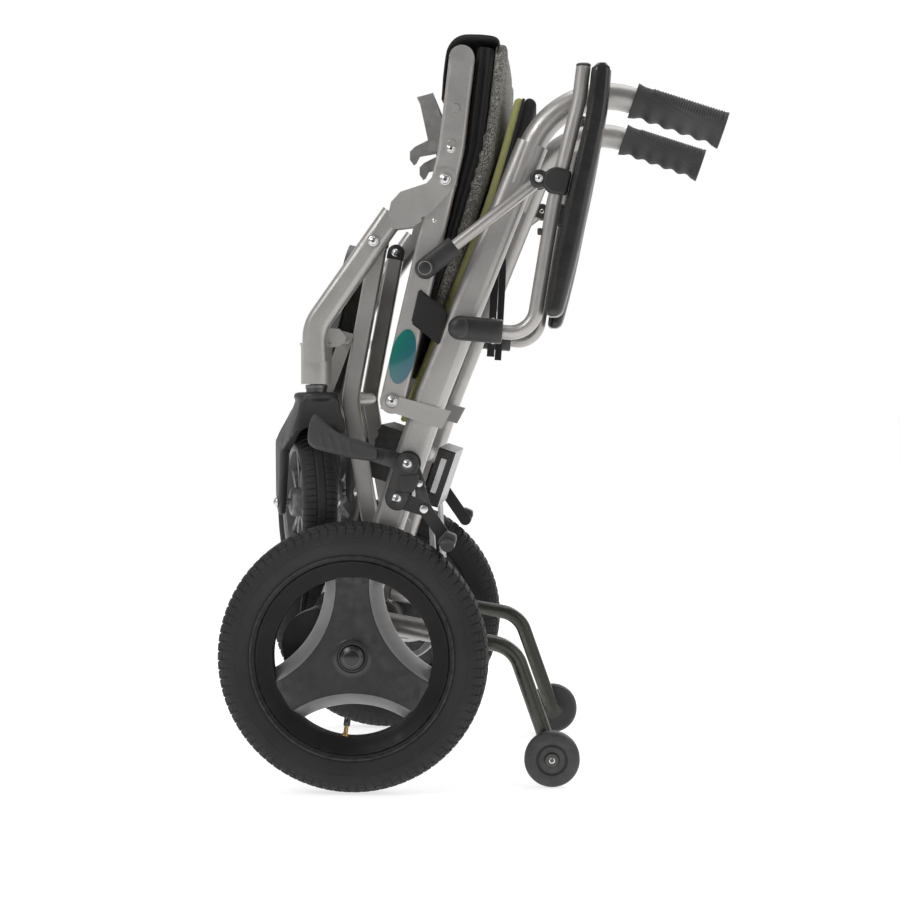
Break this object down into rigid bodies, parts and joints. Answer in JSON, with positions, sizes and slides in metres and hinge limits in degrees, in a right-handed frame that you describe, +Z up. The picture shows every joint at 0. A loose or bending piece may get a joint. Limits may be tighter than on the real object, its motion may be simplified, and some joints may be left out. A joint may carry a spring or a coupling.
{
  "type": "folding transport wheelchair",
  "caption": "Folding wheelchair with geared rear wheels, front casters, anti-tip wheels, padded seat and push handles, shown folded upright.",
  "frame": {"origin": "on the ground below the middle of the rear axle, chair folded", "axes": "+X rearward towards the push grips, +Y to the occupant's right, +Z up"},
  "size_m": [0.5999, 0.607, 0.895],
  "materials": {
    "frame_paint": "satin silver-grey metallic paint",
    "black_fabric": "woven black nylon",
    "seat_fabric": "grey tweed over black sides",
    "back_band_fabric": "olive-yellow fabric",
    "tyre_rubber": "matt black tread rubber",
    "grip_rubber": "soft ribbed grip rubber",
    "black_plastic": "fine-textured black plastic",
    "gloss_plastic": "smooth black moulded plastic",
    "wheel_plastic": "dark grey reinforced plastic",
    "caster_hub_plastic": "light grey reinforced plastic",
    "motor_housing": "dark cast housing",
    "dark_tube": "dark olive-black powder coat",
    "latch_metal": "grey painted sheet",
    "badge_print": "plain teal oval, no lettering",
    "mat_rubber": "ribbed mat",
    "cable_sheath": "silver-grey braided sheath"
  },
  "bodies": {
    "rear_frame": {"back_tube_left": "frame_paint", "back_tube_right": "frame_paint", "rear_cross_tubes": "frame_paint", "push_grip_left": "grip_rubber", "push_grip_right": "grip_rubber", "gearmotor_left": "motor_housing", "gearmotor_right": "motor_housing", "anti_tip_arms": "dark_tube", "battery_case": "black_plastic", "controller_box": "black_plastic", "backrest_pad": "black_fabric", "backrest_band": "back_band_fabric", "backrest_flap": "black_fabric", "motor_cables": "cable_sheath", "brake_brackets": "black_plastic"},
    "seat": {"seat_rail_left": "frame_paint", "seat_rail_right": "frame_paint", "seat_cross_tubes": "frame_paint", "seat_cushion": "seat_fabric", "seat_sling": "black_fabric", "badge_left": "badge_print", "badge_right": "badge_print", "rail_straps": "black_fabric"},
    "front_leg": {"leg_left": "frame_paint", "leg_right": "frame_paint", "leg_cross_tubes": "frame_paint"},
    "lower_strut": {"strut_frame": "frame_paint", "strut_caps": "black_plastic"},
    "armrest_left": {"arm_tube_left": "frame_paint", "arm_pad_left": "gloss_plastic", "arm_fitting_left": "black_plastic"},
    "armrest_right": {"arm_tube_right": "frame_paint", "arm_pad_right": "gloss_plastic", "arm_fitting_right": "black_plastic"},
    "arm_support_left": {"support_tube_left": "frame_paint", "support_sleeve_left": "black_plastic"},
    "arm_support_right": {"support_tube_right": "frame_paint", "support_sleeve_right": "black_plastic"},
    "latch": {"latch_lever": "latch_metal"},
    "footplate": {"footplate_board": "black_plastic", "footplate_mat": "mat_rubber"},
    "rear_wheel_left": {"rear_tyre_left": "tyre_rubber", "rear_rim_left": "wheel_plastic", "hub_cap_left": "black_plastic"},
    "rear_wheel_right": {"rear_tyre_right": "tyre_rubber", "rear_rim_right": "wheel_plastic", "hub_cap_right": "black_plastic"},
    "caster_swivel_left": {"caster_fork_left": "wheel_plastic"},
    "caster_swivel_right": {"caster_fork_right": "wheel_plastic"},
    "caster_wheel_left": {"caster_tyre_left": "tyre_rubber", "caster_hub_left": "caster_hub_plastic"},
    "caster_wheel_right": {"caster_tyre_right": "tyre_rubber", "caster_hub_right": "caster_hub_plastic"},
    "anti_tip_left": {"anti_tip_wheel_left": "wheel_plastic"},
    "anti_tip_right": {"anti_tip_wheel_right": "wheel_plastic"},
    "brake_hand_left": {"brake_lever_left": "grip_rubber"},
    "brake_hand_right": {"brake_lever_right": "grip_rubber"},
    "brake_shoe_arm_left": {"brake_shoe_left": "black_plastic"},
    "brake_shoe_arm_right": {"brake_shoe_right": "black_plastic"}
  },
  "joints": [
    {"name": "fold", "type": "hinge", "parent": "rear_frame", "child": "seat", "pos_m": [0.0432, 0, 0.4587], "axis": [0, -1, 0], "range_deg": [0, 98.6]},
    {"name": "leg_fold", "type": "hinge", "parent": "seat", "child": "front_leg", "pos_m": [0.1061, 0, 0.7201], "axis": [0, -1, 0], "range_deg": [-98.8, 0.2]},
    {"name": "strut_swing", "type": "hinge", "parent": "rear_frame", "child": "lower_strut", "pos_m": [0.0301, 0, 0.2894], "axis": [0, -1, 0], "range_deg": [-0.2, 69.25]},
    {"name": "armrest_swing_left", "type": "hinge", "parent": "rear_frame", "child": "armrest_left", "pos_m": [0.125, -0.268, 0.5444], "axis": [0, -1, 0], "range_deg": [-0.2, 92.14]},
    {"name": "arm_support_swing_left", "type": "hinge", "parent": "seat", "child": "arm_support_left", "pos_m": [0.0834, -0.251, 0.6147], "axis": [0, -1, 0], "range_deg": [-69.4, 0.2]},
    {"name": "armrest_swing_right", "type": "hinge", "parent": "rear_frame", "child": "armrest_right", "pos_m": [0.125, 0.268, 0.5444], "axis": [0, -1, 0], "range_deg": [-0.2, 92.14]},
    {"name": "arm_support_swing_right", "type": "hinge", "parent": "seat", "child": "arm_support_right", "pos_m": [0.0834, 0.251, 0.6147], "axis": [0, -1, 0], "range_deg": [-69.4, 0.2]},
    {"name": "latch_turn", "type": "hinge", "parent": "seat", "child": "latch", "pos_m": [0.087, 0, 0.7726], "axis": [0, -1, 0], "range_deg": [-9, 2.5]},
    {"name": "footplate_turn", "type": "hinge", "parent": "front_leg", "child": "footplate", "pos_m": [-0.062, 0, 0.45], "axis": [0, -1, 0], "range_deg": [0, 103.6]},
    {"name": "rear_wheel_spin_left", "type": "hinge", "parent": "rear_frame", "child": "rear_wheel_left", "pos_m": [0, -0.275, 0.16], "axis": [0, 1, 0], "continuous": true},
    {"name": "caster_swivel_left", "type": "hinge", "parent": "front_leg", "child": "caster_swivel_left", "pos_m": [-0.05, -0.203, 0.47], "axis": [0, 0, 1], "range_deg": [0, 84]},
    {"name": "caster_wheel_spin_left", "type": "hinge", "parent": "caster_swivel_left", "child": "caster_wheel_left", "pos_m": [-0.06754, -0.14562, 0.335], "axis": [-0.9563, -0.2924, 0], "continuous": true},
    {"name": "anti_tip_spin_left", "type": "hinge", "parent": "rear_frame", "child": "anti_tip_left", "pos_m": [0.2327, -0.228, 0.034], "axis": [0, 1, 0], "continuous": true},
    {"name": "brake_lever_turn_left", "type": "hinge", "parent": "rear_frame", "child": "brake_hand_left", "pos_m": [0.0626, -0.249, 0.385], "axis": [0, 1, 0], "range_deg": [0, 30]},
    {"name": "brake_shoe_turn_left", "type": "hinge", "parent": "rear_frame", "child": "brake_shoe_arm_left", "pos_m": [0.05, -0.254, 0.3444], "axis": [0, 1, 0], "range_deg": [-0.1, 3.6]},
    {"name": "rear_wheel_spin_right", "type": "hinge", "parent": "rear_frame", "child": "rear_wheel_right", "pos_m": [0, 0.275, 0.16], "axis": [0, 1, 0], "continuous": true},
    {"name": "caster_swivel_right", "type": "hinge", "parent": "front_leg", "child": "caster_swivel_right", "pos_m": [-0.05, 0.203, 0.47], "axis": [0, 0, -1], "range_deg": [0, 84]},
    {"name": "caster_wheel_spin_right", "type": "hinge", "parent": "caster_swivel_right", "child": "caster_wheel_right", "pos_m": [-0.06754, 0.14562, 0.335], "axis": [0.9563, -0.2924, 0], "continuous": true},
    {"name": "anti_tip_spin_right", "type": "hinge", "parent": "rear_frame", "child": "anti_tip_right", "pos_m": [0.2327, 0.228, 0.034], "axis": [0, 1, 0], "continuous": true},
    {"name": "brake_lever_turn_right", "type": "hinge", "parent": "rear_frame", "child": "brake_hand_right", "pos_m": [0.0626, 0.249, 0.385], "axis": [0, 1, 0], "range_deg": [0, 30]},
    {"name": "brake_shoe_turn_right", "type": "hinge", "parent": "rear_frame", "child": "brake_shoe_arm_right", "pos_m": [0.05, 0.254, 0.3444], "axis": [0, 1, 0], "range_deg": [-0.1, 3.6]}
  ],
  "couplings": [
    {"joint": "leg_fold", "follows": "fold", "ratio": -1},
    {"joint": "strut_swing", "follows": "fold", "ratio": 0.70034},
    {"joint": "armrest_swing_left", "follows": "fold", "ratio": 0.93243},
    {"joint": "arm_support_swing_left", "follows": "fold", "ratio": -0.70185},
    {"joint": "armrest_swing_right", "follows": "fold", "ratio": 0.93243},
    {"joint": "arm_support_swing_right", "follows": "fold", "ratio": -0.70185},
    {"joint": "brake_shoe_turn_left", "follows": "brake_lever_turn_left", "ratio": 0.11},
    {"joint": "brake_shoe_turn_right", "follows": "brake_lever_turn_right", "ratio": 0.11}
  ]
}
